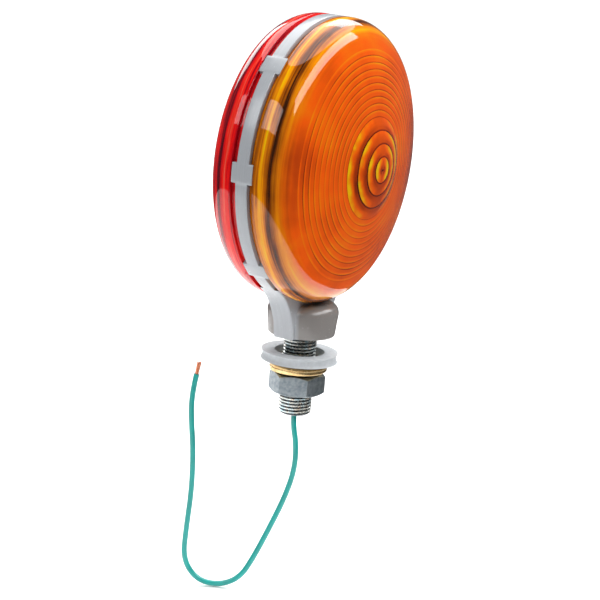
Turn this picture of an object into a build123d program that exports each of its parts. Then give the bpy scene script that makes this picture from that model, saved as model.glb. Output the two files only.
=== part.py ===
from build123d import *
from math import acos, asin, degrees, pi, radians, sqrt, tan
import os

# Double-face pedestal lamp: amber lens towards -Y, red lens towards +Y, one hollow threaded
# stud below. Millimetres. The origin is on the stud's axis, on the flat underside of the foot.

# ---- driving sizes -------------------------------------------------------------------------

# lamp head
lens_r = 54.0  # 4-1/4 inch across
head_rise = 13.8  # lowest point of the lenses above the foot's underside
band_w = 5.0  # housing band seen between the lenses
slot_w = 2.0  # open groove between the band and each lens skirt
shoulder_r = 11.5  # rounding from lens skirt to lens face
skirt_straight = 1.1  # straight part of the skirt's outside
face_wall = 2.4
skirt_wall = 3.1
rim_step = 1.6  # the skirt's thin lip is this much smaller in radius

# bullseye and inner rings of a lens
eye_r = 19.2
face_rise = 18.4  # from the end of the straight skirt to the bullseye's edge
eye_rise = 4.3
eye_rings = 4
eye_ring_depth = 1.5
rings_margin = 10.3  # from the last ring to the lens's outside
face_ring_pitch = 2.45
face_ring_depth = 0.8

# housing
ring_wall = 2.75  # sleeve that carries the lens skirts
sleeve_chamfer = 0.4
band_chamfer = 0.25
seal_w = 1.5
seal_depth = 1.0
seal_back = 1.7  # middle of the seal beyond the skirt's edge
sleeve_end = 1.8  # end of the sleeve beyond the seal's middle
tab_angles = (0, 45, 135, 180, 225, 315)  # none at the top, none over the neck
tab_length = 7.5
neck_gap = 0.2  # neck's side to the lens skirt
neck_foot_half = 13.4
neck_flare_r = 29.0
neck_round = 0.8
foot_r = 12.85
foot_top_r = 13.7
foot_gap = 1.0  # top of the foot to the lenses
foot_round = 4.0
foot_edge = 0.5

# stud and its hardware
stud_r = 6.35  # 1/2 inch over the thread, 20 threads per inch
stud_length = 31.75
stud_chamfer = 1.0
stud_bore_r = 2.4
stud_head_flats = 16.0
stud_head_t = 4.0
stud_cover = 0.8  # housing over the stud's head
pad_bore_room = 3.15  # round the stud
pad_w = 5.4
pad_t = 3.6
pad_waist = 0.7
pad_top_z = -6.9
washer_room = 0.4  # round the stud
washer_w = 4.35
washer_t = 3.18
washer_free_h = 4.9
washer_gap_deg = 8.0
nut_flats = 19.05
nut_t = 7.94
nut_corner_deg = 51.7

# bulb socket
seat_half_y = 7.0
seat_margin = 0.2
channel_half_x = 4.6
channel_half_y = 1.9
bracket_t = 0.8
bracket_hole_gap = 1.2  # inside the contact spring
ear_half_y = 3.2
shell_wall = 0.65
shell_above_pin = 4.6
screw_r = 1.4
screw_head_r = 2.4
screw_head_h = 1.6
screw_head_round = 0.6
screw_slot_half = 0.35
screw_slot_depth = 0.8
screw_depth = 6.0
strap_w = 3.0
strap_t = 0.5
strap_leg_x = 3.95
strap_toe = 1.35
disc_t = 1.2
button_head_t = 0.5
button_head_r = 2.6
button_shank_r = 1.2
button_tail = 0.8
spring_h = 4.4
spring_inset = 1.8  # spring's mean radius inside the bulb base's radius
spring_wire_r = 0.35
spring_turns = 3.5

# bulb, with heights counted from the middle of its pins
light_centre = 31.8
base_r = 7.6
base_wall = 0.4
base_drop = 5.5
base_rise = 11.0
pin_r = 1.0
pin_reach = 1.4
bulb_press = 1.5
bulb_turn_deg = 18.0
glass_r = 13.25
glass_wall = 0.7
globe_rise = 31.4
glass_neck_rise = 12.0
glass_foot_rise = 4.0
insulator_r = 5.0
insulator_drop = 6.5
tip_r = 2.3
tip_drop = 7.3
stem_r = 2.6
stem_rise = 20.0
stem_flare_h = 6.0
stem_rim = 1.0
support_r = 0.3
support_foot_x = 1.7
support_bend_r = 2.0
filament_half = 3.2
filament_r = 0.55

# lead
lead_r = 1.1
strand_r = 0.75
strand_length = 5.0
seal_plug_t = 6.0
seal_plug_up = 3.0  # plug's lower face above the stud's end

# clearances
fit = 0.05  # nut on thread
slip = 0.08  # bulb in shell
ease = 0.15  # lens skirt over sleeve, slots round a pin, screw heads beside the shell
seat_gap = 0.1  # lens lip to band, tab to lens

# lead route below the stud: (distance out from the stud's axis, height), along lead_heading
lead_heading = (-0.486, 0.874)
lead_route = (
    (0.0, -31.75),
    (0.0, -36.5),
    (-1.8, -44.0),
    (-2.2, -54.5),
    (0.6, -66.0),
    (5.3, -78.5),
    (10.6, -91.5),
    (15.2, -100.6),
    (22.8, -104.6),
    (32.2, -103.4),
    (38.3, -95.2),
    (37.9, -82.0),
    (37.0, -66.5),
    (37.6, -50.5),
    (39.4, -37.5),
    (39.8, -28.0),
    (38.6, -20.0),
)

# ---- sizes that follow ---------------------------------------------------------------------

head_z = lens_r + head_rise
band_half = band_w / 2
skirt_y = band_half + slot_w
shoulder_y = skirt_y + skirt_straight
eye_edge_y = shoulder_y + face_rise
eye_tip_y = eye_edge_y + eye_rise
face_rings = round((lens_r - rings_margin - eye_r) / face_ring_pitch)
lip_r = lens_r - rim_step
lip_y = band_half + seat_gap
skirt_bore_r = lens_r - skirt_wall
sleeve_r = skirt_bore_r - ease
ring_bore_r = sleeve_r - ring_wall
seal_y = skirt_y + seal_back
sleeve_half = seal_y + sleeve_end
seal_floor_r = sleeve_r - seal_depth
tab_bore_r = lip_r + ease
neck_half_t = skirt_y - neck_gap
foot_h = head_rise - foot_gap

stud_head_top_z = foot_h - stud_cover
stud_head_z = stud_head_top_z - stud_head_t
pad_bore_r = stud_r + pad_bore_room
pad_r = pad_bore_r + pad_w
washer_bore_r = stud_r + washer_room
washer_r = washer_bore_r + washer_w
washer_z = pad_top_z - pad_t - washer_free_h
nut_z = washer_z - nut_t

pin_z = head_z - light_centre
pin_end_r = base_r + pin_reach
neck_bore_r = base_r - base_wall
base_z = pin_z - base_drop
base_top_z = pin_z + base_rise
insulator_z = pin_z - insulator_drop
tip_z = pin_z - tip_drop
globe_z = pin_z + globe_rise
glass_neck_z = pin_z + glass_neck_rise
glass_foot_z = pin_z + glass_foot_rise
stem_top_z = pin_z + stem_rise
disc_z = tip_z - button_head_t - disc_t
bracket_top_z = disc_z - spring_h
seat_z = bracket_top_z - bracket_t
shell_bore_r = base_r + slip
shell_r = shell_bore_r + shell_wall
shell_top_z = pin_z + shell_above_pin
spring_mean_r = base_r - spring_inset
bracket_hole_r = spring_mean_r - bracket_hole_gap
screw_x = shell_r + screw_head_r + ease
bracket_half_x = screw_x + screw_head_r
strap_end_x = screw_x + screw_head_r

optical = Axis((0, 0, head_z), (0, 1, 0))
head_plane = Plane.XY.offset(head_z)
halves = (-1, 1)


# ---- small helpers -------------------------------------------------------------------------


def about_head(edges):
    """Turns an outline given as (radius, Y) round the optical axis."""
    return revolve(head_plane * make_face(edges), optical)


def about_stud(edges):
    """Turns an outline given as (radius, height) round the stud's axis."""
    return revolve(Plane.XZ * make_face(edges), Axis.Z)


def outline(*points):
    return Polyline(*points, close=True).edges()


def tube(outer, inner, low, high):
    return about_stud(outline((inner, low), (outer, low), (outer, high), (inner, high)))


def rod(radius, low, high):
    return Pos(0, 0, low) * Cylinder(radius, high - low, align=(Align.CENTER, Align.CENTER, Align.MIN))


def block(x0, x1, y0, y1, z0, z1):
    corner = (Align.MIN, Align.MIN, Align.MIN)
    return Pos(x0, y0, z0) * Box(x1 - x0, y1 - y0, z1 - z0, align=corner)


def hexagon(flats, low, high, corner_deg=0.0):
    """Hexagonal bar across its flats, with one corner turned from +X."""
    face = RegularPolygon(flats / 2, 6, major_radius=False)
    return Pos(0, 0, low) * Rot(0, 0, corner_deg) * extrude(face, high - low)


def across_bar(radius):
    """Round bar along Y, longer than the housing is thick."""
    return Cylinder(radius, 4 * foot_r, rotation=(90, 0, 0))


# ---- lenses --------------------------------------------------------------------------------

corner_r = lens_r - shoulder_r  # radius of the circle that the shoulder's centre runs on


def face_circle():
    """Centre height and radius of the face's arc: it starts at the bullseye's edge and is
    tangent to the shoulder."""
    a = (eye_edge_y**2 - shoulder_y**2 + eye_r**2 - corner_r**2 + shoulder_r**2) / (2 * shoulder_r)
    b = -face_rise / shoulder_r
    qa = 1 - b * b
    qb = -2 * (eye_edge_y + a * b)
    qc = eye_edge_y**2 + eye_r**2 - a * a
    root = sqrt(qb * qb - 4 * qa * qc)
    centre = min((-qb - root) / (2 * qa), (-qb + root) / (2 * qa))
    return centre, a + b * centre


face_y0, face_r = face_circle()
eye_dome_r = (eye_r**2 + eye_rise**2) / (2 * eye_rise)


def outside_y(r):
    """Height of the lens's smooth outside at a radius."""
    if r < eye_r:
        return eye_tip_y - eye_dome_r + sqrt(eye_dome_r**2 - r * r)
    return face_y0 + sqrt(face_r**2 - r * r)


def ring_points():
    """Sawtooth of the inside, from the axis outwards: each ring is thick on its inner side."""
    points = []
    edges = [eye_r * k / eye_rings for k in range(eye_rings + 1)]
    for near, far in zip(edges, edges[1:]):
        points.append((near, outside_y(near) - face_wall - eye_ring_depth))
        points.append((far, outside_y(far - 1e-6) - face_wall))
    for k in range(face_rings):
        near = eye_r + k * face_ring_pitch
        far = near + face_ring_pitch
        points.append((near, outside_y(near) - face_wall - face_ring_depth))
        points.append((far, outside_y(far) - face_wall))
    return points


def make_lens():
    """Rear lens: a deep cap whose thin lip reaches down to the housing's band."""
    turn = degrees(acos(corner_r / (face_r - shoulder_r)))
    rings = ring_points()
    inner_round = shoulder_r - face_wall
    inner_start = degrees(acos((skirt_bore_r - corner_r) / inner_round))
    inner_end = degrees(acos((rings[-1][0] - corner_r) / inner_round))
    inner_arc = CenterArc((corner_r, shoulder_y), inner_round, inner_start, inner_end - inner_start)
    eye_edge_angle = degrees(asin(eye_r / eye_dome_r))
    edges = [
        Polyline(inner_arc @ 0, (skirt_bore_r, lip_y), (lip_r, lip_y), (lip_r, skirt_y),
                 (lens_r, skirt_y), (lens_r, shoulder_y)),
        CenterArc((corner_r, shoulder_y), shoulder_r, 0, turn),
        CenterArc((0, face_y0), face_r, turn, degrees(acos(eye_r / face_r)) - turn),
        CenterArc((0, eye_tip_y - eye_dome_r), eye_dome_r, 90 - eye_edge_angle, eye_edge_angle),
        Polyline((0, eye_tip_y), *rings, inner_arc @ 1),
        inner_arc,
    ]
    return about_head([e for part in edges for e in part.edges()])


# ---- housing and seals ---------------------------------------------------------------------

seal_half = seal_w / 2
groove_half = seal_half + fit


def ring_body():
    """Band with a sleeve each side and a seal groove in each sleeve."""
    side = [
        (ring_bore_r, sleeve_half),
        (sleeve_r - sleeve_chamfer, sleeve_half),
        (sleeve_r, sleeve_half - sleeve_chamfer),
        (sleeve_r, seal_y + groove_half),
        (seal_floor_r, seal_y + groove_half),
        (seal_floor_r, seal_y - groove_half),
        (sleeve_r, seal_y - groove_half),
        (sleeve_r, band_half),
        (lens_r - band_chamfer, band_half),
        (lens_r, band_half - band_chamfer),
    ]
    other = [(r, -y) for r, y in reversed(side)]
    return about_head(outline(*side, *other))


def tab(angle):
    """One of the bridges over the slots, flush with the band and the lenses."""
    arc = degrees(tab_length / lens_r)
    reach = skirt_y - seat_gap
    face = outline((tab_bore_r, -reach), (lens_r, -reach), (lens_r, reach), (tab_bore_r, reach))
    piece = revolve(head_plane * make_face(face), optical, revolution_arc=arc)
    return piece.rotate(optical, -angle - arc / 2)


def neck():
    """Web from the band down to the foot, flaring into the band by a round each side."""
    flare_x = neck_foot_half + neck_flare_r
    reach = lens_r + neck_flare_r
    flare_z = head_z - sqrt(reach**2 - flare_x**2)
    top_x = flare_x * lens_r / reach
    top_z = head_z - (head_z - flare_z) * lens_r / reach
    web = block(-top_x, top_x, -neck_half_t, neck_half_t, 0, top_z)
    for side in halves:
        web -= Pos(side * flare_x, 0, flare_z) * across_bar(neck_flare_r)
    rounded = web.edges().filter_by(GeomType.CIRCLE)
    web = fillet(rounded, neck_round)
    return web - Pos(0, 0, head_z) * across_bar(tab_bore_r)


def foot():
    round_z = foot_h - foot_round
    edges = [
        Polyline((0, foot_h), (0, 0), (foot_r - foot_edge, 0)),
        Line((foot_r - foot_edge, 0), (foot_r, foot_edge)),
        Line((foot_r, foot_edge), (foot_top_r, round_z)),
        CenterArc((foot_top_r - foot_round, round_z), foot_round, 0, 90),
        Line((foot_top_r - foot_round, foot_h), (0, foot_h)),
    ]
    return about_stud([e for part in edges for e in part.edges()])


def socket_seat():
    half_x = bracket_half_x + seat_margin
    low = head_z - seal_floor_r
    seat = block(-half_x, half_x, -seat_half_y, seat_half_y, low, seat_z)
    return seat & Pos(0, 0, head_z) * across_bar(seal_floor_r)


def stud_envelope():
    head = hexagon(stud_head_flats, stud_head_z, stud_head_top_z)
    return rod(stud_r, -stud_length, stud_head_z) + head


def make_housing():
    body = ring_body() + neck() + foot() + socket_seat()
    for angle in tab_angles:
        body += tab(angle)
    body -= stud_envelope()
    body -= block(-channel_half_x, channel_half_x, -channel_half_y, channel_half_y,
                  stud_head_top_z, seat_z)
    for side in halves:
        body -= Pos(side * screw_x, 0, 0) * rod(screw_r, seat_z - screw_depth, seat_z)
    room_x = bracket_half_x + seat_margin
    body -= block(-room_x, room_x, -seat_half_y, seat_half_y, seat_z, bracket_top_z + screw_head_h)
    half_strap = strap_w / 2
    return body - block(0, strap_end_x, -half_strap, half_strap, seat_z - strap_t, seat_z)


def make_seal():
    """Square-section rubber ring in the rear sleeve's groove."""
    top = sleeve_r + ease - fit
    return about_head(
        outline(
            (seal_floor_r, seal_y - seal_half),
            (top, seal_y - seal_half),
            (top, seal_y + seal_half),
            (seal_floor_r, seal_y + seal_half),
        )
    )


# ---- stud, pad, washer, nut ----------------------------------------------------------------


def make_stud():
    end = -stud_length
    shank = about_stud(
        outline(
            (stud_bore_r, stud_head_z),
            (stud_bore_r, end),
            (stud_r - stud_chamfer, end),
            (stud_r, end + stud_chamfer),
            (stud_r, stud_head_z),
        )
    )
    head = hexagon(stud_head_flats, stud_head_z, stud_head_top_z)
    return shank + (head - rod(stud_bore_r, stud_head_z, stud_head_top_z))


def make_pad():
    """Flat rubber ring whose rim is waisted between its two faces."""
    low = pad_top_z - pad_t
    side = ThreePointArc((pad_r, low), (pad_r - pad_waist, low + pad_t / 2), (pad_r, pad_top_z))
    rest = Polyline((pad_r, pad_top_z), (pad_bore_r, pad_top_z), (pad_bore_r, low), (pad_r, low))
    return about_stud([*side.edges(), *rest.edges()])


def make_washer():
    """Split spring washer: a square-edged ring that climbs as it goes round."""
    rise = washer_free_h - washer_t
    mean = (washer_r + washer_bore_r) / 2
    pitch = rise * 360 / (360 - washer_gap_deg)
    path = Helix(pitch, rise, mean)
    section = Rectangle(washer_r - washer_bore_r, washer_t)
    placed = Plane(origin=path @ 0, x_dir=(1, 0, 0), z_dir=path % 0) * section
    ring = sweep(placed, path, is_frenet=True)
    return Pos(0, 0, washer_z + washer_t / 2) * ring


def make_nut():
    """Hexagon nut chamfered on both faces."""
    corner_radius = nut_flats / sqrt(3)
    flat_r = nut_flats / 2
    drop = (corner_radius - flat_r + 0.3) * tan(radians(30))
    top = nut_z + nut_t
    chamfered = about_stud(
        outline(
            (stud_r + fit, nut_z),
            (flat_r - 0.3, nut_z),
            (corner_radius, nut_z + drop),
            (corner_radius, top - drop),
            (flat_r - 0.3, top),
            (stud_r + fit, top),
        )
    )
    return hexagon(nut_flats, nut_z, top, nut_corner_deg) & chamfered


# ---- socket --------------------------------------------------------------------------------


def make_bracket():
    plate = rod(shell_r + slip, seat_z, bracket_top_z)
    plate += block(-bracket_half_x, bracket_half_x, -ear_half_y, ear_half_y, seat_z, bracket_top_z)
    plate -= rod(bracket_hole_r, seat_z, bracket_top_z)
    for side in halves:
        plate -= Pos(side * screw_x, 0, 0) * rod(screw_r, seat_z, bracket_top_z)
    return plate


def make_screws():
    head_top = bracket_top_z + screw_head_h
    screw = rod(screw_r, seat_z - screw_depth, bracket_top_z) + rod(screw_head_r, bracket_top_z, head_top)
    screw = fillet(screw.edges().sort_by(Axis.Z)[-1], screw_head_round)
    screw -= block(-screw_head_r, screw_head_r, -screw_slot_half, screw_slot_half,
                   head_top - screw_slot_depth, head_top)
    return Compound([Pos(side * screw_x, 0, 0) * screw for side in halves])


def make_shell():
    """Socket tube with a bayonet slot each side: down from the rim, then across."""
    shell = tube(shell_r, shell_bore_r, bracket_top_z, shell_top_z)
    gap = pin_r + ease
    side_deg = degrees(asin(gap / shell_bore_r))
    low = pin_z - bulb_press - gap
    high = pin_z + gap
    window = outline((neck_bore_r, low), (pin_end_r, low), (pin_end_r, high), (neck_bore_r, high))
    across = revolve(Plane.XZ * make_face(window), Axis.Z, revolution_arc=bulb_turn_deg + 2 * side_deg)
    across = across.rotate(Axis.Z, -side_deg)
    down = block(neck_bore_r, pin_end_r, -gap, gap, low, shell_top_z).rotate(Axis.Z, bulb_turn_deg)
    for half_turn in (0, 180):
        shell -= across.rotate(Axis.Z, half_turn)
        shell -= down.rotate(Axis.Z, half_turn)
    return shell


def make_disc():
    return tube(base_r, button_shank_r, disc_z, disc_z + disc_t)


def make_button():
    shank = rod(button_shank_r, disc_z - button_tail, disc_z + disc_t)
    return shank + rod(button_head_r, disc_z + disc_t, tip_z)


def make_spring():
    low = bracket_top_z + spring_wire_r
    height = disc_z - spring_wire_r - low
    path = Helix(height / spring_turns, height, spring_mean_r)
    wire = sweep(Plane(origin=path @ 0, z_dir=path % 0) * Circle(spring_wire_r), path, is_frenet=True)
    return Pos(0, 0, low) * wire


def make_strap():
    """Earth strip: under one ear of the bracket, down the channel, toe on the stud's head."""
    half = strap_w / 2
    leg_out = strap_leg_x + strap_t
    strip = block(strap_leg_x, strap_end_x, -half, half, seat_z - strap_t, seat_z)
    strip += block(strap_leg_x, leg_out, -half, half, stud_head_top_z, seat_z)
    strip += block(leg_out - strap_toe - strap_t, leg_out, -half, half, stud_head_top_z,
                   stud_head_top_z + strap_t)
    return strip - Pos(screw_x, 0, 0) * rod(screw_r, seat_z - strap_t, seat_z)


# ---- bulb ----------------------------------------------------------------------------------


def glass_profile(grow):
    """Neck, concave round and globe, all moved inwards by grow."""
    neck_r = neck_bore_r - grow
    globe_r = glass_r - grow
    drop = globe_z - glass_neck_z
    round_r = (neck_bore_r**2 + drop**2 - glass_r**2) / (2 * (glass_r - neck_bore_r))
    blend = degrees(acos((neck_bore_r + round_r) / (glass_r + round_r)))
    return [
        Line((neck_r, glass_foot_z), (neck_r, glass_neck_z)),
        CenterArc((neck_bore_r + round_r, glass_neck_z), round_r + grow, 180, -blend),
        CenterArc((0, globe_z), globe_r, -blend, 90 + blend),
    ]


def make_glass():
    outer = glass_profile(0)
    inner = glass_profile(glass_wall)
    ends = [
        Line(outer[0] @ 0, inner[0] @ 0),
        Line(outer[2] @ 1, inner[2] @ 1),
    ]
    return about_stud([e for part in (*outer, *inner, *ends) for e in part.edges()])


def pin_rods(start):
    """Two bayonet pins from a start radius out to their ends."""
    length = pin_end_r - start
    pin = Rot(0, 90, 0) * Cylinder(pin_r, length)
    return [Pos(side * (start + length / 2), 0, pin_z) * pin for side in halves]


def make_base():
    shell = about_stud(
        outline(
            (insulator_r, base_z),
            (base_r, base_z),
            (base_r, base_top_z),
            (neck_bore_r, base_top_z),
            (neck_bore_r, base_z + base_wall),
            (insulator_r, base_z + base_wall),
        )
    )
    for pin in pin_rods(0):
        shell -= pin
    return shell


def make_stem():
    rim_r = neck_bore_r - glass_wall
    return about_stud(
        outline(
            (0, glass_foot_z),
            (rim_r, glass_foot_z),
            (rim_r, glass_foot_z + stem_rim),
            (stem_r, glass_foot_z + stem_flare_h),
            (stem_r, stem_top_z),
            (0, stem_top_z),
        )
    )


def make_supports():
    """Two stiff wires that stand on the stem, spread, and hold the filament's ends."""
    wires = []
    hook_x = filament_half + support_r
    spread = (head_z - stem_top_z) / 4
    for side in halves:
        path = FilletPolyline(
            (side * support_foot_x, 0, stem_top_z),
            (side * support_foot_x, 0, stem_top_z + spread),
            (side * hook_x, 0, head_z - spread),
            (side * hook_x, 0, head_z + 2 * filament_r),
            radius=support_bend_r,
        )
        wires.append(sweep(Plane(origin=path @ 0, z_dir=path % 0) * Circle(support_r), path))
    return Compound([w.solids()[0] for w in wires])


# ---- lead ----------------------------------------------------------------------------------


def route_points():
    return [(out * lead_heading[0], out * lead_heading[1], z) for out, z in lead_route]


def corner_radii(points):
    """Largest round each corner allows: 0.45 of its shorter run over the tangent of half its turn."""
    radii = []
    for a, b, c in zip(points, points[1:], points[2:]):
        run_in = Vector(*b) - Vector(*a)
        run_out = Vector(*c) - Vector(*b)
        turn = radians(run_in.get_angle(run_out))
        radii.append(0.45 * min(run_in.length, run_out.length) / tan(turn / 2))
    return radii


def make_lead():
    points = route_points()
    radii = corner_radii(points)
    path = FilletPolyline(*points, radius=radii)
    lead = sweep(Plane(origin=path @ 0, z_dir=path % 0) * Circle(lead_r), path)
    ratio = lead.volume / (pi * lead_r**2 * path.length)
    print("lead length", round(path.length, 1), "volume ratio", round(ratio, 4))
    print("lead radii", [round(r, 1) for r in radii])
    return lead


def make_strands():
    points = route_points()
    end = Vector(*points[-1])
    heading = (end - Vector(*points[-2])).normalized()
    return extrude(Plane(origin=end, z_dir=heading) * Circle(strand_r), strand_length)


def make_inner_lead():
    return rod(lead_r, -stud_length, disc_z - button_tail)


def make_wire_seal():
    low = -stud_length + seal_plug_up
    return tube(stud_bore_r, lead_r, low, low + seal_plug_t)


# ---- export --------------------------------------------------------------------------------


def to_front(piece):
    return mirror(piece, about=Plane.XZ)


lens = make_lens()
seal = make_seal()

pieces = {
    "housing": make_housing(),
    "rear_lens": lens,
    "front_lens": to_front(lens),
    "rear_lens_seal": seal,
    "front_lens_seal": to_front(seal),
    "mounting_stud": make_stud(),
    "stud_wire_seal": make_wire_seal(),
    "mounting_pad": make_pad(),
    "lock_washer": make_washer(),
    "hex_nut": make_nut(),
    "socket_bracket": make_bracket(),
    "socket_screws": make_screws(),
    "socket_shell": make_shell(),
    "contact_disc": make_disc(),
    "contact_button": make_button(),
    "contact_spring": make_spring(),
    "ground_strap": make_strap(),
    "bulb_glass": make_glass(),
    "bulb_base": make_base(),
    "bulb_pins": Compound(pin_rods(neck_bore_r)),
    "bulb_insulator": rod(insulator_r, insulator_z, base_z + base_wall),
    "bulb_tip": rod(tip_r, tip_z, insulator_z),
    "bulb_stem": make_stem(),
    "bulb_supports": make_supports(),
    "bulb_filament": Pos(0, 0, head_z) * Rot(0, 90, 0) * Cylinder(filament_r, 2 * filament_half),
    "inner_lead": make_inner_lead(),
    "lead_wire": make_lead(),
    "wire_strands": make_strands(),
}

os.makedirs("parts", exist_ok=True)
for name, piece in pieces.items():
    export_step(piece, f"parts/{name}.step")
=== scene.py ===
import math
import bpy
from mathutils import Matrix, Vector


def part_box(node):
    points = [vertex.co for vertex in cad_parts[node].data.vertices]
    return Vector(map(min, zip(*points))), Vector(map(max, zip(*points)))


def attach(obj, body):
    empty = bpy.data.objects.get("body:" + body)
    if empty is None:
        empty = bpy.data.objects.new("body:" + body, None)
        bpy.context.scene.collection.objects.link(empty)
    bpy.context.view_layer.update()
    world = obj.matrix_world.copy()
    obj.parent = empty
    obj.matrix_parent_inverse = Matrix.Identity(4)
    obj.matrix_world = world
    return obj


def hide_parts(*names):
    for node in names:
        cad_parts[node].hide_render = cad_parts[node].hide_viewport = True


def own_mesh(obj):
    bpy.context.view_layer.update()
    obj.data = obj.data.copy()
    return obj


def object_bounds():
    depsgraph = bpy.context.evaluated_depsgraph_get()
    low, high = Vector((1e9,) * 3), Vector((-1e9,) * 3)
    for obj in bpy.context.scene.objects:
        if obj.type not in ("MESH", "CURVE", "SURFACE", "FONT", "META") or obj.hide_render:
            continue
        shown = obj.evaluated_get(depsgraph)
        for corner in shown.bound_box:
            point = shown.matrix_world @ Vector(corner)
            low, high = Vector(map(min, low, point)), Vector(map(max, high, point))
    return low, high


bl_info = {
    "name": "Pedestal Lamp",
    "version": (1, 0, 0),
    "blender": (4, 5, 0),
    "location": "3D View > Sidebar > Pedestal Lamp",
    "description": "Builds a double-face pedestal lamp's finished parts around its solid frame",
    "category": "Object",
}

import bmesh
import bpy
from bpy.props import FloatProperty, FloatVectorProperty, IntProperty, PointerProperty
from mathutils import Matrix, Vector

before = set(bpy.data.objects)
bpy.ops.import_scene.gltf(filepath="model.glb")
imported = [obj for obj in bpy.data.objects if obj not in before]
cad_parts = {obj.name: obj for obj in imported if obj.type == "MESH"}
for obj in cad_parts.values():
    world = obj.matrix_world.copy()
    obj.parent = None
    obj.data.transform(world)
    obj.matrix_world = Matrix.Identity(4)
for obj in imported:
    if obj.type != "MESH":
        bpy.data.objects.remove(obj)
cad_box = [list(corner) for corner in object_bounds()]

MM = 0.001

# ---- sizes of the frame, in millimetres -----------------------------------------------------


def ends(node):
    """Lowest and highest corner of one of the frame's solids, in millimetres."""
    return (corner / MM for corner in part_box(node))


lens_low, lens_high = ends("rear_lens")
stud_low, stud_high = ends("mounting_stud")
pad_low, pad_high = ends("mounting_pad")
washer_low, washer_high = ends("lock_washer")
nut_low, nut_high = ends("hex_nut")
bracket_low, bracket_high = ends("socket_bracket")
disc_low, button_low = (next(ends(node)) for node in ("contact_disc", "contact_button"))
base_low, base_high = ends("bulb_base")
glass_low, glass_high = ends("bulb_glass")
tip_low, tip_high = ends("bulb_tip")
fibre_low, fibre_high = ends("bulb_insulator")
pin_low, pin_high = ends("bulb_pins")
plug_low, plug_high = ends("stud_wire_seal")
seal_low, seal_high = ends("rear_lens_seal")

LENS_R = lens_high.x
HEAD_Z = (lens_low.z + lens_high.z) / 2
LIP_Y, TIP_Y = lens_low.y, lens_high.y
SLOT_Y = 4.5
SHOULDER_Y = 5.6
SHOULDER_R = 11.5
FACE_WALL = 2.4
LIP_R = 52.4
SKIRT_BORE_R = 50.9
EYE_R = 19.2
EYE_EDGE_Y = 24.0
BAND_HALF = 2.5
SLEEVE_R = 50.75
RING_BORE_R = 48.0
SLEEVE_HALF = 8.0
SEAL_Y = (seal_low.y + seal_high.y) / 2
SEAL_FLOOR_R = 49.75
GROOVE_HALF = 0.8
TAB_BORE_R, TAB_ROOT = 52.55, 2.0
TAB_REACH = 4.4
TAB_ANGLES = (0, 45, 135, 180, 225, 315)
TAB_LENGTH = 7.5
NECK_HALF = 4.3
NECK_FOOT_HALF = 13.4
NECK_FLARE_R = 29.0
NECK_ROUND, HEEL_ROUND = 0.8, 0.6
FOOT_R, FOOT_TOP_R, FOOT_H, FOOT_ROUND = 12.85, 13.7, 12.8, 4.0
STUD_R = 6.35
STUD_BORE_R = 2.4
STUD_HEAD_Z = 8.0
STUD_HEAD_FLATS = 16.0
SEAT_Z = bracket_low.z
SEAT_MARGIN, SEAT_ROOT, SEAT_HALF_Y = 0.2, 0.5, 7.0
CHANNEL_HALF = (4.6, 1.9)
STRAP_HALF = 1.5
SCREW_X, SCREW_R, SCREW_DEPTH = 10.88, 1.4, 6.0
WASHER_ROOM, WASHER_T, WASHER_GAP_DEG = 0.4, 3.18, 8.0
PAD_BORE_R, PAD_WAIST = 9.5, 0.7
NUT_FLATS = 19.05
NUT_CORNER_DEG = 51.7
PIN_Z = (pin_low.z + pin_high.z) / 2
BASE_WALL, GLASS_WALL, GLASS_NECK_RISE = 0.4, 0.7, 12.0
INSULATOR_TIP_R = 3.0
FILM = 0.02  # what a cut or a joined part is grown by, so that no two faces coincide
LEAD_R = 1.1
STRAND_LENGTH = 5.0

LEAD_HEADING = (-0.486, 0.874)
LEAD_ROUTE = (
    (0.0, -31.75),
    (0.0, -36.5),
    (-1.8, -44.0),
    (-2.2, -54.5),
    (0.6, -66.0),
    (5.3, -78.5),
    (10.6, -91.5),
    (15.2, -100.6),
    (22.8, -104.6),
    (32.2, -103.4),
    (38.3, -95.2),
    (37.9, -82.0),
    (37.0, -66.5),
    (37.6, -50.5),
    (39.4, -37.5),
    (39.8, -28.0),
    (38.6, -20.0),
)


def srgb(code):
    """Linear colour of an sRGB hex value such as #a0b1c2."""
    parts = [int(code[i : i + 2], 16) / 255 for i in (1, 3, 5)]
    return tuple(c / 12.92 if c <= 0.04045 else ((c + 0.055) / 1.055) ** 2.4 for c in parts)


# ---- settings a user may change -------------------------------------------------------------


def length_setting(label, about, millimetres):
    return FloatProperty(
        name=label, description=about, default=millimetres * MM, min=0.0, unit="LENGTH", precision=5
    )


def colour_setting(label, about, code):
    return FloatVectorProperty(
        name=label, description=about, default=srgb(code), size=3, min=0.0, max=1.0, subtype="COLOR"
    )


class LampSizes(bpy.types.PropertyGroup):
    """Fine sizes of the finished parts."""

    ring_pitch: length_setting("Ring pitch", "Spacing of the fine rings inside a lens", 2.45)
    ring_depth: length_setting("Ring depth", "Height of the fine rings inside a lens", 0.8)
    eye_ring_depth: length_setting("Bullseye ring depth", "Height of the bullseye's rings", 1.5)
    ring_edge: length_setting("Ring edge", "Rounding of the rings' crests", 0.12)
    housing_edge: length_setting("Housing edge", "Rounding of the housing's moulded edges", 0.3)
    thread_pitch: length_setting("Thread pitch", "Rise of the stud's thread in one turn", 1.27)
    thread_depth: length_setting("Thread depth", "Depth of the stud's thread", 0.74)
    washer_edge: length_setting("Washer edge", "Rounding of the lock washer's edges", 0.7)
    pad_edge: length_setting("Pad edge", "Rounding of the pad's edges", 0.22)
    strand_r: length_setting("Strand radius", "Radius of one copper strand", 0.15)
    rings: IntProperty(name="Rings", description="Fine rings inside a lens", default=10, min=1)
    eye_rings: IntProperty(name="Bullseye rings", description="Rings in the bullseye", default=4, min=1)


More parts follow.
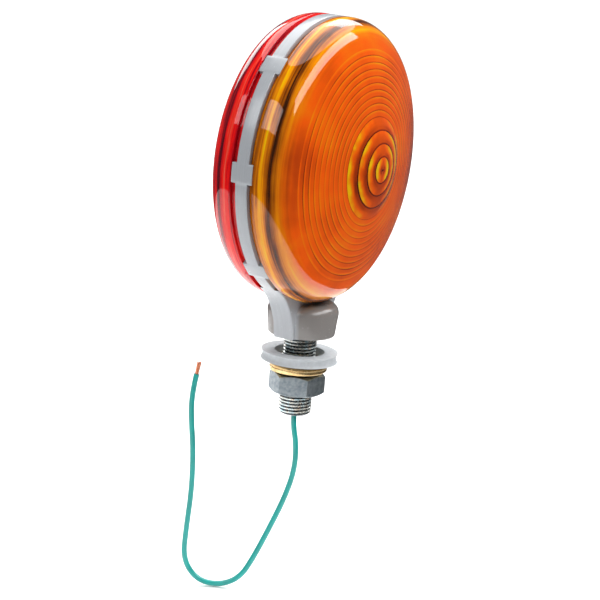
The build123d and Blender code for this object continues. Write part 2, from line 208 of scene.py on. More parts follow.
class LampColours(bpy.types.PropertyGroup):
    """Colours of the finished parts."""

    amber: colour_setting("Amber", "Colour of the front lens", "#ff6200")
    red: colour_setting("Red", "Colour of the rear lens", "#ff1212")
    housing: colour_setting("Housing", "Grey of the housing", "#a4a8ad")
    pad: colour_setting("Pad", "Grey of the rubber pad", "#b4b9bd")
    lead: colour_setting("Lead", "Green of the lead", "#00958e")
    zinc: colour_setting("Zinc", "Clear zinc plating", "#a3abb0")
    yellow_zinc: colour_setting("Yellow zinc", "Yellow passivated zinc", "#ead09a")


# ---- outlines and solids --------------------------------------------------------------------


def verts_of(geom):
    return [item for item in geom if isinstance(item, bmesh.types.BMVert)]


class Outline:
    """Draws a profile as (radius, height) in millimetres, one run or arc after another."""

    def __init__(self, r, h):
        self.bm = bmesh.new()
        self.first = self.last = self.bm.verts.new((r * MM, 0, h * MM))

    def line(self, *points):
        for r, h in points:
            point = self.bm.verts.new((r * MM, 0, h * MM))
            self.bm.edges.new((self.last, point))
            self.last = point
        return self.last

    def arc(self, r, h, angle, steps):
        """Turns about a centre by degrees, from the radius towards the height."""
        bend = {"cent": (r * MM, 0, h * MM), "axis": (0, -1, 0), "angle": math.radians(angle)}
        swept = bmesh.ops.spin(self.bm, geom=[self.last], steps=steps, **bend)
        self.last = verts_of(swept["geom_last"])[0]
        return self.last

    def close(self):
        self.bm.edges.new((self.last, self.first))
        return self.bm


def round_corners(bm, corners, radius, segments=3):
    """Rounds corners of an outline before it is turned."""
    smooth = {"segments": segments, "profile": 0.5, "material": -1}
    bmesh.ops.bevel(bm, geom=corners, offset=radius, affect="VERTICES", **smooth)


def round_edges(bm, edges, radius, segments=3):
    smooth = {"segments": segments, "profile": 0.5, "material": -1, "clamp_overlap": True}
    bmesh.ops.bevel(bm, geom=edges, offset=radius, affect="EDGES", **smooth)


def sharp_edges(bm, degrees):
    limit = math.radians(degrees)
    return [e for e in bm.edges if len(e.link_faces) == 2 and e.calc_face_angle() > limit]


def sweep(bm, steps, angle=360.0, rise=0.0):
    """Turns what is drawn about Z, climbing by a rise in millimetres, and merges a full turn."""
    way = {"cent": (0, 0, 0), "axis": (0, 0, 1), "dvec": (0, 0, rise * MM / steps)}
    whole = bm.verts[:] + bm.edges[:] + bm.faces[:]
    full = angle == 360.0 and rise == 0.0
    bmesh.ops.spin(bm, geom=whole, angle=math.radians(angle), steps=steps, use_merge=full, **way)


def turn(bm, steps, angle=360.0, rise=0.0):
    sweep(bm, steps, angle, rise)
    tidy(bm)


def tidy(bm):
    bmesh.ops.remove_doubles(bm, verts=bm.verts[:], dist=1e-6)
    bmesh.ops.dissolve_degenerate(bm, edges=bm.edges[:], dist=1e-7)
    open_edges = [e for e in bm.edges if len(e.link_faces) == 1]
    if open_edges:
        bmesh.ops.holes_fill(bm, edges=open_edges, sides=0)
    bmesh.ops.recalc_face_normals(bm, faces=bm.faces[:])


def fill_and_thicken(bm, half):
    """Fills an outline drawn in XZ and gives it a thickness each side of the plane."""
    bmesh.ops.contextual_create(bm, geom=bm.edges[:])
    bmesh.ops.translate(bm, verts=bm.verts[:], vec=(0, -half * MM, 0))
    grown = bmesh.ops.extrude_face_region(bm, geom=bm.faces[:], use_keep_orig=True)
    bmesh.ops.translate(bm, verts=verts_of(grown["geom"]), vec=(0, 2 * half * MM, 0))
    bmesh.ops.recalc_face_normals(bm, faces=bm.faces[:])


def head_place(side):
    """Matrix that takes Z to the lens axis, towards +Y or -Y, at the head's height."""
    return Matrix.Translation((0, 0, HEAD_Z * MM)) @ Matrix.Rotation(-side * math.pi / 2, 4, "X")


def solid(bm, name, place=None):
    """Object of a finished bmesh, moved into place in its mesh."""
    if place is not None:
        bmesh.ops.transform(bm, matrix=place, verts=bm.verts[:])
    mesh = bpy.data.meshes.new(name)
    bm.to_mesh(mesh)
    bm.free()
    piece = bpy.data.objects.new(name, mesh)
    bpy.context.scene.collection.objects.link(piece)
    return piece


def combine(piece, other, how):
    """Joins, cuts or keeps the common part of two solids, in the first one's mesh."""
    cut = piece.modifiers.new(how, "BOOLEAN")
    cut.operation = how
    cut.solver = "EXACT"
    cut.object = other
    shape = bpy.context.evaluated_depsgraph_get()
    result = bpy.data.meshes.new_from_object(piece.evaluated_get(shape))
    piece.modifiers.clear()
    old = piece.data
    piece.data = result
    bpy.data.meshes.remove(old)
    bpy.data.objects.remove(other)
    if not len(result.polygons):
        raise RuntimeError(f"{piece.name} came out empty")
    result.name = piece.name
    return piece


def box_solid(name, x0, x1, y0, y1, z0, z1):
    bm = bmesh.new()
    bmesh.ops.create_cube(bm, size=MM)
    bmesh.ops.scale(bm, vec=(x1 - x0, y1 - y0, z1 - z0), verts=bm.verts[:])
    middle = Vector((x0 + x1, y0 + y1, z0 + z1)) * MM / 2
    bmesh.ops.translate(bm, vec=middle, verts=bm.verts[:])
    return solid(bm, name)


def turned_solid(name, steps, *points, place=None):
    pen = Outline(*points[0])
    pen.line(*points[1:])
    bm = pen.close()
    turn(bm, steps)
    return solid(bm, name, place)


def bar(name, steps, radius, low, high, place=None):
    return turned_solid(name, steps, (0, low), (radius, low), (radius, high), (0, high), place=place)


def hexagon_solid(name, flats, low, high, corner_deg):
    """Hexagonal bar with one corner at an angle from +X."""
    bm = bmesh.new()
    radius = flats / math.sqrt(3) * MM
    shape = {"segments": 6, "radius1": radius, "radius2": radius, "depth": (high - low) * MM}
    bmesh.ops.create_cone(bm, cap_ends=True, **shape)
    first = bm.verts[:][0].co
    spin = Matrix.Rotation(math.radians(corner_deg) - math.atan2(first.y, first.x), 4, "Z")
    move = Matrix.Translation((0, 0, (low + high) / 2 * MM))
    return solid(bm, name, move @ spin)


def finish(piece, material, body, node, sharp_deg=32.0):
    """Shades, colours and hangs a piece on its body in place of the solid that it stands for."""
    if piece.type == "MESH":
        piece.data.shade_smooth()
        piece.data.set_sharp_from_angle(angle=math.radians(sharp_deg))
    piece.data.materials.clear()
    piece.data.materials.append(finish_named(material))
    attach(piece, body)
    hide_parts(node)
    return piece


def dress(node, material):
    """Gives one of the frame's own solids a finish."""
    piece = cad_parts[node]
    if not piece.material_slots:
        piece.data.materials.append(None)
    for place in piece.material_slots:
        place.material = finish_named(material)


# ---- finishes -------------------------------------------------------------------------------

MATH, RANGE, MIX, RAMP = "ShaderNodeMath", "ShaderNodeMapRange", "ShaderNodeMix", "ShaderNodeValToRGB"


def add_node(tree, kind, inputs=(), **settings):
    """Adds a node with its settings and its inputs, given in order or by name or number. An
    input that is a node is linked from its first live output."""
    node = tree.nodes.new(kind)
    for key, value in settings.items():
        setattr(node, key, value)
    for key, value in inputs.items() if isinstance(inputs, dict) else enumerate(inputs):
        if isinstance(value, bpy.types.Node):
            value = next(output for output in value.outputs if output.enabled)
        if isinstance(value, bpy.types.NodeSocket):
            tree.links.new(value, node.inputs[key])
        else:
            node.inputs[key].default_value = value
    return node


def new_finish(name, **values):
    """Material with one Principled shader. Returns its tree and the shader."""
    material = bpy.data.materials.new(name)
    material.use_nodes = True
    tree = material.node_tree
    tree.nodes.clear()
    sockets = {key.replace("_", " "): value for key, value in values.items()}
    shader = add_node(tree, "ShaderNodeBsdfPrincipled", sockets)
    add_node(tree, "ShaderNodeOutputMaterial", {"Surface": shader})
    return tree, shader


def paint(tree, shader, **inputs):
    """Links patterns to the shader's own sockets."""
    for key, node in inputs.items():
        output = next(output for output in node.outputs if output.enabled)
        tree.links.new(output, shader.inputs[key.replace("_", " ")])


def shade(colour, factor=1.0):
    return (*(min(1.0, c * factor) for c in colour[:3]), 1.0)


def cloud(tree, grain_mm, low=0.0, high=1.0, detail=3.0, stretch=(1.0, 1.0, 1.0)):
    """Soft noise between two values, whose blotches are about a size in millimetres across."""
    where = add_node(tree, "ShaderNodeTexCoord").outputs["Object"]
    scaled = add_node(tree, "ShaderNodeMapping", {"Vector": where, "Scale": stretch})
    pattern = {"Vector": scaled, "Scale": 1 / (grain_mm * MM), "Detail": detail}
    return add_node(tree, RANGE, (add_node(tree, "ShaderNodeTexNoise", pattern), 0.3, 0.7, low, high))


def two_tints(tree, first, second, grain_mm, detail=3.0, stretch=(1.0, 1.0, 1.0)):
    """Clouds of two tints, whose blotches are about a size in millimetres across."""
    tints = {"Factor": cloud(tree, grain_mm, 0.0, 1.0, detail, stretch), 6: shade(first), 7: shade(second)}
    return add_node(tree, MIX, tints, data_type="RGBA")


def relief(tree, grain_mm, depth_mm, detail=3.0, stretch=(1.0, 1.0, 1.0)):
    """Bumps of a width and a depth in millimetres."""
    height = cloud(tree, grain_mm, 0.0, 1.0, detail, stretch)
    return add_node(tree, "ShaderNodeBump", {"Height": height, "Distance": depth_mm * MM})


# painted light of a lens at depths in millimetres from the lamp's middle: the skirt's painted bright band,
# the painted dark line where the skirt turns into the face, and the painted bright band inside the shoulder
WALL_PAINTED_LIGHT = (
    (4.5, 0.4),
    (6.0, 0.42),
    (7.2, 0.9),
    (8.3, 0.6),
    (9.6, 0.26),
    (10.8, 0.04),
    (11.8, 0.4),
    (13.7, 0.78),
    (15.6, 0.54),
    (17.5, 0.48),
)


def fill_ramp(ramp, stops):
    """Puts stops of (place, colour) on a colour ramp."""
    elements = ramp.color_ramp.elements
    while len(elements) < len(stops):
        elements.new(1.0)
    for element, (place, colour) in zip(elements, stops):
        element.position = place
        element.color = colour


def lens_plastic(name, face_tones, wall_tones):
    """Injection-moulded polycarbonate, dyed through: a clear deep colour under a glossy skin. Its colour
    holds painted light and shade: painted highlights on the crests of its rings and inside its rounded rim,
    painted shade in the steps between. The tones run from painted shade to painted highlight; the wall's are
    yellower, as light crosses less of it."""
    # glossy, with less mirror than its index of 1.58 gives, as its hollow back lets light out
    tree, shader = new_finish(name, Roughness=0.04, IOR=1.45, Transmission_Weight=0.25)
    sizes = bpy.context.scene.lamp_sizes

    where = add_node(tree, "ShaderNodeTexCoord").outputs["Object"]
    head = {"Vector": where, "Location": (0, 0, -HEAD_Z * MM), "Scale": (1, 0, 1)}
    flat = add_node(tree, "ShaderNodeMapping", head)
    radius = add_node(tree, "ShaderNodeVectorMath", [flat], operation="LENGTH")
    parts = add_node(tree, "ShaderNodeSeparateXYZ", [where])
    depth = add_node(tree, MATH, [parts.outputs["Y"]], operation="ABSOLUTE")
    aside = add_node(tree, MATH, [parts.outputs["X"]], operation="ABSOLUTE")
    sideways = add_node(tree, MATH, (aside, radius), operation="DIVIDE")

    past_eye = add_node(tree, MATH, (radius, EYE_R * MM), operation="SUBTRACT")
    fine = add_node(tree, MATH, (past_eye, sizes.ring_pitch), operation="DIVIDE")
    coarse = add_node(tree, MATH, (radius, EYE_R * MM / sizes.eye_rings), operation="DIVIDE")
    in_eye = add_node(tree, MATH, (radius, EYE_R * MM), operation="LESS_THAN")
    face_r = EYE_R * MM + sizes.rings * sizes.ring_pitch
    in_face = add_node(tree, MATH, (radius, face_r), operation="LESS_THAN")
    ring = add_node(tree, MIX, {"Factor": in_eye, 2: fine, 3: coarse})
    phase = add_node(tree, MATH, [ring], operation="FRACT")
    # the face's rings: painted shade in each step, then a rise to a painted highlight on each crest,
    # stronger here than there
    step = add_node(tree, RANGE, (phase, 0.0, 0.2, -0.4, 0.0))
    crest = add_node(tree, RANGE, (phase, 0.6, 0.95, 0.0, 0.25))
    rings = add_node(tree, MATH, (step, crest), operation="ADD")
    rings = add_node(tree, MATH, (rings, cloud(tree, 14.0, 0.35, 1.1)), operation="MULTIPLY")
    # the bullseye's: painted highlights, brightest on the flanks towards its left and right
    eye_painted_glints = add_node(tree, RANGE, (phase, 0.3, 0.85, -0.25, 1.1))
    for part in (add_node(tree, RANGE, (sideways, 0.15, 0.9, 0.1, 0.8)), cloud(tree, 6.0, 0.3, 1.1, 2.0)):
        eye_painted_glints = add_node(tree, MATH, (eye_painted_glints, part), operation="MULTIPLY")
    eye_step = add_node(tree, RANGE, (phase, 0.0, 0.16, -0.5, -0.14))
    eye = add_node(tree, MATH, (eye_painted_glints, eye_step), operation="ADD")
    centre = add_node(tree, MIX, {"Factor": in_eye, 2: rings, 3: eye})
    centre = add_node(tree, MATH, (centre, in_face), operation="MULTIPLY")
    # the wall, with painted light in lines 0.7 mm wide that run right round it
    uneven = add_node(tree, MATH, (depth, cloud(tree, 16.0, -0.45 * MM, 0.45 * MM)), operation="ADD")
    low, high = WALL_PAINTED_LIGHT[0][0], WALL_PAINTED_LIGHT[-1][0]
    place = add_node(tree, RANGE, (uneven, low * MM, high * MM, 0.0, 1.0))
    wall = add_node(tree, RAMP, [place])
    fill_ramp(wall, [((d - low) / (high - low), (tone, tone, tone, 1.0)) for d, tone in WALL_PAINTED_LIGHT])
    near_band = add_node(tree, RANGE, (depth, 11.0 * MM, 17.0 * MM, 1.0, 0.1))
    streaks = cloud(tree, 0.7, -0.2, 0.2, 2.0, (0.02, 1.0, 0.02))
    streaks = add_node(tree, MATH, (streaks, near_band), operation="MULTIPLY")
    # painted shade: the rim is darker towards its left and right than towards its top and bottom
    dull = add_node(tree, RANGE, (sideways, 0.86, 0.99, 0.0, -0.22))
    for limits in ((depth, 11.5 * MM, 13.0 * MM, 0.0, 1.0), (radius, 34.0 * MM, 45.0 * MM, 0.0, 1.0)):
        dull = add_node(tree, MATH, (dull, add_node(tree, RANGE, limits)), operation="MULTIPLY")
    tone = wall
    for part in (streaks, centre, dull, cloud(tree, 22.0, -0.1, 0.1)):
        tone = add_node(tree, MATH, (tone, part), operation="ADD")
    tints = {"Factor": add_node(tree, RANGE, (depth, 12.5 * MM, 16.5 * MM, 0.0, 1.0))}
    for socket, tones in ((6, wall_tones), (7, face_tones)):
        tints[socket] = add_node(tree, RAMP, [tone])
        fill_ramp(tints[socket], [(k / (len(tones) - 1), shade(tint)) for k, tint in enumerate(tones)])
    colour = add_node(tree, MIX, tints, data_type="RGBA")
    # flow marks of the moulding, 7 mm long and barely deep enough to bend a highlight
    paint(tree, shader, Base_Color=colour, Normal=relief(tree, 7.0, 0.008, 1.0))


def housing_plastic(colour):
    """Moulded ABS: glossy grey, faintly lined round by the mould's tool marks, with painted shade on the
    foot under the lenses.
    """
    tree, shader = new_finish("moulded grey ABS", IOR=1.53)
    # tool marks 0.5 mm wide, left in the mould by turning it about the lens axis
    marks = two_tints(tree, shade(colour, 0.95), shade(colour, 1.04), 0.5, 3.0, (0.03, 1.0, 0.03))
    # painted shade: warmer and darker on the foot's faces and in the recess above them, under the lenses
    parts = add_node(tree, "ShaderNodeSeparateXYZ", [add_node(tree, "ShaderNodeTexCoord").outputs["Object"]])
    aside = add_node(tree, MATH, [parts.outputs["Y"]], operation="ABSOLUTE")
    face = add_node(tree, RANGE, (aside, NECK_HALF * MM, (NECK_HALF + 1.5) * MM, 0.0, 0.9))
    low = add_node(tree, RANGE, (parts.outputs["Z"], (FOOT_H + 4.0) * MM, FOOT_H * MM, 0.0, 1.0))
    foot_painted_shade = add_node(tree, MATH, (face, low), operation="MULTIPLY")
    tints = {"Factor": foot_painted_shade, 6: marks, 7: shade(srgb("#7b7672"))}
    colouring = add_node(tree, MIX, tints, data_type="RGBA")
    skin = relief(tree, 0.4, 0.006, 3.0, (0.04, 1.0, 0.04))
    paint(tree, shader, Base_Color=colouring, Roughness=cloud(tree, 1.2, 0.18, 0.28, 4.0), Normal=skin)


def grey_rubber(colour):
    """Moulded neoprene: dull, with a fine bloom on its skin."""
    tree, shader = new_finish("moulded grey neoprene", IOR=1.52, Sheen_Weight=0.08)
    bloom = two_tints(tree, shade(colour, 0.93), shade(colour, 1.06), 1.5, 4.0)
    rough = cloud(tree, 0.6, 0.5, 0.68)
    paint(tree, shader, Base_Color=bloom, Roughness=rough, Normal=relief(tree, 0.3, 0.012, 4.0))


def black_rubber():
    """Moulded nitrile: near black, dull, dusty on its high spots."""
    tree, shader = new_finish("moulded black nitrile", IOR=1.52)
    dust = two_tints(tree, srgb("#161616"), srgb("#26282a"), 0.9, 4.0)
    rough = cloud(tree, 0.5, 0.5, 0.7)
    paint(tree, shader, Base_Color=dust, Roughness=rough, Normal=relief(tree, 0.3, 0.01))


def plated_metal(name, colour, second, grain_mm, rough, depth_mm=0.006):
    """Plated steel: crystal-like clouding between two tints, and a fine pickled skin."""
    tree, shader = new_finish(name, Metallic=1.0)
    clouding = two_tints(tree, colour, second, grain_mm, 4.0)
    haze = cloud(tree, grain_mm / 2, rough - 0.07, rough + 0.09, 5.0)
    paint(tree, shader, Base_Color=clouding, Roughness=haze, Normal=relief(tree, 0.35, depth_mm, 5.0))


def thread_plating():
    """Blue zinc over a cut thread: painted highlight on the crests, painted shade in the roots, rainbow
    drift.
    """
    tree, shader = new_finish("blue zinc thread", Metallic=1.0)
    where = add_node(tree, "ShaderNodeTexCoord").outputs["Object"]
    flat = add_node(tree, "ShaderNodeMapping", {"Vector": where, "Scale": (1, 1, 0)})
    radius = add_node(tree, "ShaderNodeVectorMath", [flat], operation="LENGTH")
    depth = bpy.context.scene.lamp_sizes.thread_depth
    # painted highlight towards the crest's radius and painted shade towards the roots
    crest = add_node(tree, RANGE, (radius, STUD_R * MM - 0.8 * depth, STUD_R * MM - 0.1 * depth, 0.0, 1.0))
    rainbow = two_tints(tree, srgb("#d3ecf4"), srgb("#f0e2d2"), 1.8, stretch=(1.0, 1.0, 0.4))
    tints = {"Factor": crest, 6: shade(srgb("#63686c")), 7: rainbow}
    tint = add_node(tree, MIX, tints, data_type="RGBA")
    paint(tree, shader, Base_Color=tint, Roughness=cloud(tree, 1.0, 0.2, 0.32))


def lead_vinyl(colour):
    """Extruded PVC insulation: smooth and faintly waxy."""
    tree, shader = new_finish("extruded green PVC", IOR=1.53, Coat_Weight=0.15)
    drift = two_tints(tree, shade(colour, 0.9), shade(colour, 1.1), 5.0, 2.0)
    rough = cloud(tree, 0.8, 0.28, 0.42)
    paint(tree, shader, Base_Color=drift, Roughness=rough, Normal=relief(tree, 0.4, 0.006))


def bulb_glass():
    """Blown soda-lime glass: clear and thin, slightly wavy."""
    clear = {"Base_Color": (1.0, 1.0, 1.0, 1.0), "Roughness": 0.0, "Transmission_Weight": 1.0}
    tree, shader = new_finish("blown clear glass", IOR=1.52, **clear)
    paint(tree, shader, Normal=relief(tree, 5.0, 0.01, 1.0))


def fibre_board():
    """Vulcanised fibre: red-brown, dull, with short flecks."""
    tree, shader = new_finish("vulcanised red fibre", IOR=1.5)
    flecks = two_tints(tree, srgb("#5a2a1c"), srgb("#87452c"), 0.5, 4.0, (1.0, 1.0, 0.3))
    paint(tree, shader, Base_Color=flecks, Roughness=cloud(tree, 0.4, 0.55, 0.7))


def base_cement():
    """Black vitrified glass between the base and its tip: glossy, with small pits."""
    tree, shader = new_finish("vitrified black glass", IOR=1.52)
    pits = two_tints(tree, srgb("#0c0c10"), srgb("#23232b"), 0.4, 4.0)
    rough = cloud(tree, 0.3, 0.1, 0.25)
    paint(tree, shader, Base_Color=pits, Roughness=rough, Normal=relief(tree, 0.4, 0.01, 4.0))


def make_finishes():
    """Every finish of the lamp, from its settings."""
    colours = bpy.context.scene.lamp_colours
    # each lens ramp runs from painted shade to painted highlight
    face = (srgb("#4a1600"), srgb("#b43c00"), colours.amber, srgb("#ff8e00"), srgb("#ffcc00"))
    wall = (srgb("#3a1800"), srgb("#8c4400"), srgb("#d87600"), srgb("#ffa000"), srgb("#ffd000"))
    lens_plastic("amber polycarbonate", face, wall)
    face = (srgb("#780010"), srgb("#d00014"), colours.red, srgb("#ff2a1c"), srgb("#ff6a48"))
    wall = (srgb("#5c0014"), srgb("#a80018"), colours.red, srgb("#ff3424"), srgb("#ff7a60"))
    lens_plastic("red polycarbonate", face, wall)
    housing_plastic(colours.housing)
    grey_rubber(colours.pad)
    black_rubber()
    # bright zinc on steel, blue passivated: cool grey with clouds 1.6 mm across
    plated_metal("blue zinc plate", colours.zinc, srgb("#79848b"), 1.6, 0.36)
    thread_plating()
    # yellow passivated zinc: gold that drifts to pink-brown
    plated_metal("yellow zinc plate", colours.yellow_zinc, srgb("#d9b078"), 3.0, 0.2, 0.0015)
    # drawn brass: warm, lightly tarnished
    plated_metal("drawn brass", srgb("#c9a55a"), srgb("#a8863f"), 2.0, 0.3)
    # dull nickel on brass
    plated_metal("nickel plate", srgb("#c8c4b8"), srgb("#aaa79c"), 1.5, 0.28)
    # hardened spring wire, oiled
    plated_metal("spring steel", srgb("#8b8c8f"), srgb("#6f7075"), 1.0, 0.34)
    # tin-lead solder with a frosted skin
    plated_metal("solder", srgb("#b5b8ba"), srgb("#8f9294"), 0.6, 0.42, 0.02)
    plated_metal("tungsten wire", srgb("#77787c"), srgb("#5c5d62"), 0.4, 0.45)
    # bare stranded copper, orange where fresh and browner where handled
    plated_metal("bare copper", srgb("#f4a988"), srgb("#cc7a55"), 0.7, 0.26, 0.004)
    lead_vinyl(colours.lead)
    bulb_glass()
    fibre_board()
    base_cement()


def finish_named(name):
    """A finish that the pieces share. The first call makes them all."""
    if name not in bpy.data.materials:
        make_finishes()
    return bpy.data.materials[name]


# ---- lenses ---------------------------------------------------------------------------------


def face_circle():
    """Centre height and radius of the face's arc, tangent to the shoulder and through the
    bullseye's edge."""
    corner_r = LENS_R - SHOULDER_R
    rise = EYE_EDGE_Y - SHOULDER_Y
    a = (EYE_EDGE_Y**2 - SHOULDER_Y**2 + EYE_R**2 - corner_r**2 + SHOULDER_R**2) / (2 * SHOULDER_R)
    b = -rise / SHOULDER_R
    qa = 1 - b * b
    qb = -2 * (EYE_EDGE_Y + a * b)
    qc = EYE_EDGE_Y**2 + EYE_R**2 - a * a
    root = math.sqrt(qb * qb - 4 * qa * qc)
    centre = min((-qb - root) / (2 * qa), (-qb + root) / (2 * qa))
    return centre, a + b * centre


def draw_lens(sizes):
    """Half section of a lens: smooth outside, stepped rings inside."""
    face_y0, face_r = face_circle()
    corner_r = LENS_R - SHOULDER_R
    eye_rise = TIP_Y - EYE_EDGE_Y
    dome_r = (EYE_R**2 + eye_rise**2) / (2 * eye_rise)
    turned = math.degrees(math.acos(corner_r / (face_r - SHOULDER_R)))
    inner_round = SHOULDER_R - FACE_WALL

    def outside(r):
        if r < EYE_R:
            return TIP_Y - dome_r + math.sqrt(dome_r**2 - r * r)
        return face_y0 + math.sqrt(face_r**2 - r * r)

    pen = Outline(SKIRT_BORE_R, LIP_Y)
    corners = [pen.line((LIP_R, LIP_Y)), pen.line((LIP_R, SLOT_Y)), pen.line((LENS_R, SLOT_Y))]
    pen.line((LENS_R, SHOULDER_Y))
    pen.arc(corner_r, SHOULDER_Y, turned, 20)
    pen.arc(0, face_y0, math.degrees(math.acos(EYE_R / face_r)) - turned, 26)
    pen.arc(0, TIP_Y - dome_r, math.degrees(math.asin(EYE_R / dome_r)), 20)
    eye_step, eye_depth = EYE_R / sizes.eye_rings, sizes.eye_ring_depth / MM
    pitch, depth = sizes.ring_pitch / MM, sizes.ring_depth / MM
    steps = [(k * eye_step, (k + 1) * eye_step, eye_depth) for k in range(sizes.eye_rings)]
    steps += [(EYE_R + k * pitch, EYE_R + (k + 1) * pitch, depth) for k in range(sizes.rings)]
    crests = []
    for near, far, depth in steps:
        crests.append(pen.line((near, outside(near) - FACE_WALL - depth)))
        below = far - 1e-6 if far <= EYE_R else far
        crests.append(pen.line((far, outside(below) - FACE_WALL)))
    inner_end = math.acos((steps[-1][1] - corner_r) / inner_round)
    inner_start = math.acos((SKIRT_BORE_R - corner_r) / inner_round)
    end_r = corner_r + inner_round * math.cos(inner_end)
    pen.line((end_r, SHOULDER_Y + inner_round * math.sin(inner_end)))
    pen.arc(corner_r, SHOULDER_Y, math.degrees(inner_start) - math.degrees(inner_end), 12)
    bm = pen.close()
    round_corners(bm, corners, 0.2 * MM)
    round_corners(bm, crests[1:], sizes.ring_edge, 2)
    return bm


class LAMP_OT_lenses(bpy.types.Operator):
    """Turn both lenses from one half section"""

    bl_idname = "lamp.lenses"
    bl_label = "Lenses"

    def execute(self, context):
        for side, node, tint in ((-1, "front_lens", "amber"), (1, "rear_lens", "red")):
            bm = draw_lens(context.scene.lamp_sizes)
            turn(bm, 240)
            piece = solid(bm, tint + "_lens", head_place(side))
            finish(piece, tint + " polycarbonate", node, node, 25.0)
        return {"FINISHED"}


# ---- housing --------------------------------------------------------------------------------


def ring_solid(edge):
    """The band with a grooved sleeve each side."""
    side = [
        (RING_BORE_R, SLEEVE_HALF),
        (SLEEVE_R, SLEEVE_HALF),
        (SLEEVE_R, SEAL_Y + GROOVE_HALF),
        (SEAL_FLOOR_R, SEAL_Y + GROOVE_HALF),
        (SEAL_FLOOR_R, SEAL_Y - GROOVE_HALF),
        (SLEEVE_R, SEAL_Y - GROOVE_HALF),
        (SLEEVE_R, BAND_HALF),
        (LENS_R, BAND_HALF),
    ]
    pen = Outline(*side[0])
    corners = [pen.first]
    for r, y in side[1:] + [(r, -y) for r, y in reversed(side)]:
        point = pen.line((r, y))
        if abs(y) in (SLEEVE_HALF, BAND_HALF) and r != SEAL_FLOOR_R:
            corners.append(point)
    bm = pen.close()
    round_corners(bm, corners, edge)
    turn(bm, 216)
    return solid(bm, "lamp_housing", head_place(-1))


def tab_solid(angle, edge):
    """A bridge over the two slots."""
    root_r, proud_r = TAB_BORE_R - TAB_ROOT, LENS_R + FILM
    pen = Outline(root_r, -TAB_REACH)
    pen.line((proud_r, -TAB_REACH), (proud_r, TAB_REACH), (root_r, TAB_REACH))
    bm = pen.close()
    bmesh.ops.contextual_create(bm, geom=bm.edges[:])
    arc = math.degrees(TAB_LENGTH / LENS_R)
    turn(bm, 6, arc)
    round_edges(bm, sharp_edges(bm, 60), edge, 2)
    place = head_place(-1) @ Matrix.Rotation(math.radians(angle - arc / 2), 4, "Z")
    return solid(bm, f"tab_{angle}", place)


def neck_solid():
    """Web from the band to the foot, flared by a round each side."""
    flare_x = NECK_FOOT_HALF + NECK_FLARE_R
    reach = LENS_R + NECK_FLARE_R
    drop = math.sqrt(reach**2 - flare_x**2)
    flare_z = HEAD_Z - drop
    top_x = flare_x * LENS_R / reach
    top_z = HEAD_Z - drop * LENS_R / reach
    foot_x = flare_x - math.sqrt(NECK_FLARE_R**2 - flare_z**2)
    low_deg = math.degrees(math.atan2(-flare_z, foot_x - flare_x))
    high_deg = math.degrees(math.atan2(top_z - flare_z, top_x - flare_x))
    cup_x = math.sqrt(TAB_BORE_R**2 - (HEAD_Z - top_z) ** 2)
    cup_deg = 2 * math.degrees(math.asin(cup_x / TAB_BORE_R))
    pen = Outline(-foot_x, 0)
    pen.line((foot_x, 0))
    pen.arc(flare_x, flare_z, high_deg - low_deg, 28)
    pen.line((cup_x, top_z))
    pen.arc(0, HEAD_Z, -cup_deg, 40)
    pen.line((-top_x, top_z))
    pen.arc(-flare_x, flare_z, high_deg - low_deg, 28)
    bm = pen.bm
    bmesh.ops.remove_doubles(bm, verts=bm.verts[:], dist=1e-6)
    fill_and_thicken(bm, NECK_HALF)

    def on_flare(vert):
        x, z = abs(vert.co.x) / MM, vert.co.z / MM
        return math.hypot(x - flare_x, z - flare_z) < NECK_FLARE_R + 0.01

    rims = [e for e in sharp_edges(bm, 60) if on_flare(e.verts[0]) and on_flare(e.verts[1])]
    rims = [e for e in rims if abs(e.verts[0].co.y - e.verts[1].co.y) < 1e-6]
    round_edges(bm, rims, NECK_ROUND * MM, 4)
    return solid(bm, "neck")


def foot_solid():
    round_z = FOOT_H - FOOT_ROUND
    pen = Outline(0, 0)
    heel = pen.line((FOOT_R, 0))
    pen.line((FOOT_TOP_R, round_z))
    pen.arc(FOOT_TOP_R - FOOT_ROUND, round_z, 90, 14)
    pen.line((0, FOOT_H))
    bm = pen.close()
    round_corners(bm, [heel], HEEL_ROUND * MM, 4)
    turn(bm, 128)
    return solid(bm, "foot")


def seat_solid():
    """Floor of the bulb socket, on the inside of the sleeve."""
    half_x = bracket_high.x + SEAT_MARGIN
    under_r = SLEEVE_R - SEAT_ROOT
    low_z = HEAD_Z - math.sqrt(under_r**2 - half_x**2)
    pen = Outline(-half_x, SEAT_Z)
    pen.line((-half_x, low_z))
    pen.arc(0, HEAD_Z, 2 * math.degrees(math.asin(half_x / under_r)), 16)
    pen.line((half_x, SEAT_Z))
    bm = pen.close()
    bmesh.ops.remove_doubles(bm, verts=bm.verts[:], dist=1e-6)
    fill_and_thicken(bm, SEAT_HALF_Y)
    return solid(bm, "seat")


